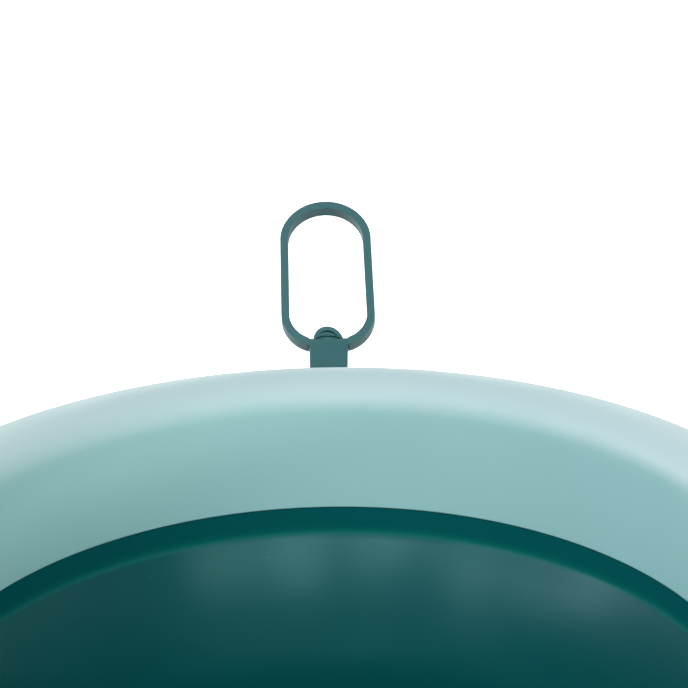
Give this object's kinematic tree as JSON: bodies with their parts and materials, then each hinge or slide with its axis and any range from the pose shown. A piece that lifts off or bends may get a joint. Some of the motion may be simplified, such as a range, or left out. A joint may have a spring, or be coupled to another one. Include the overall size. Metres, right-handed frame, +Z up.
{
  "type": "pet bathtub",
  "caption": "Oval collapsible pet bathtub with a hard rolled rim, soft folding wall, drained floor tray, rubber feet and a hanging ring on a strap.",
  "frame": {"origin": "on the ground, under the middle of the oval tub, at the bottom of the centre foot", "axes": "+Z up, +Y along the tub's length towards the hanging ring, +X across the tub"},
  "size_m": [0.4479, 0.6724, 0.2644],
  "materials": {
    "rim_plastic": "satin moulded pale teal",
    "tray_plastic": "satin moulded pale teal",
    "frame_plastic": "fine texture pale teal",
    "soft_wall": "smooth dark teal thermoplastic rubber",
    "foot_rubber": "matt dark rubber",
    "drain_plastic": "satin dark teal-grey",
    "gasket_rubber": "matt black rubber",
    "steel": "zinc-plated",
    "strap_rubber": "satin grey-teal thermoplastic rubber",
    "ring_plastic": "satin grey-teal"
  },
  "bodies": {
    "base": {"wall_lower": "soft_wall", "base_tray": "tray_plastic", "base_frame": "frame_plastic", "base_screws": "steel", "foot_pad_rear_right": "foot_rubber", "foot_pad_rear_left": "foot_rubber", "foot_pad_front_left": "foot_rubber", "foot_pad_front_right": "foot_rubber", "foot_pad_centre": "foot_rubber", "drain_fitting": "drain_plastic", "drain_gasket": "gasket_rubber", "drain_nut": "drain_plastic"},
    "rim": {"rim_shell": "rim_plastic", "rim_cover_ring": "rim_plastic", "wall_collar": "soft_wall", "hanger_anchor": "ring_plastic", "anchor_screws": "steel", "strap_pin": "steel"},
    "band_upper": {"fold_band_upper": "soft_wall"},
    "band_middle": {"fold_band_middle": "soft_wall"},
    "band_lower": {"fold_band_lower": "soft_wall"},
    "plug": {"drain_plug": "foot_rubber"},
    "pull_ring": {"plug_pull_ring": "ring_plastic"},
    "strap": {"hang_strap": "strap_rubber"},
    "ring": {"hang_ring": "ring_plastic"}
  },
  "joints": [
    {"name": "collapse", "type": "slide", "parent": "base", "child": "rim", "axis": [0, 0, -1], "range_m": [0, 0.12]},
    {"name": "fold_upper", "type": "slide", "parent": "base", "child": "band_upper", "axis": [0, 0, -1], "range_m": [0, 0.1001]},
    {"name": "fold_middle", "type": "slide", "parent": "base", "child": "band_middle", "axis": [0, 0, -1], "range_m": [0, 0.0601]},
    {"name": "fold_lower", "type": "slide", "parent": "base", "child": "band_lower", "axis": [0, 0, -1], "range_m": [0, 0.0201]},
    {"name": "plug_lift", "type": "slide", "parent": "base", "child": "plug", "axis": [0, 0, 1], "range_m": [0, 0.03]},
    {"name": "pull_ring_swing", "type": "hinge", "parent": "plug", "child": "pull_ring", "pos_m": [0, -0.13, 0.0285], "axis": [1, 0, 0], "range_deg": [0, 100]},
    {"name": "strap_swing", "type": "hinge", "parent": "rim", "child": "strap", "pos_m": [0, 0.297, 0.178], "axis": [-1, 0, 0], "range_deg": [-60, 55]},
    {"name": "ring_swing", "type": "hinge", "parent": "strap", "child": "ring", "pos_m": [0, 0.32104, 0.20204], "axis": [1, 0, 0], "range_deg": [-60, 80]}
  ],
  "couplings": [
    {"joint": "fold_upper", "follows": "collapse", "ratio": 0.83333},
    {"joint": "fold_middle", "follows": "collapse", "ratio": 0.5},
    {"joint": "fold_lower", "follows": "collapse", "ratio": 0.16667}
  ]
}
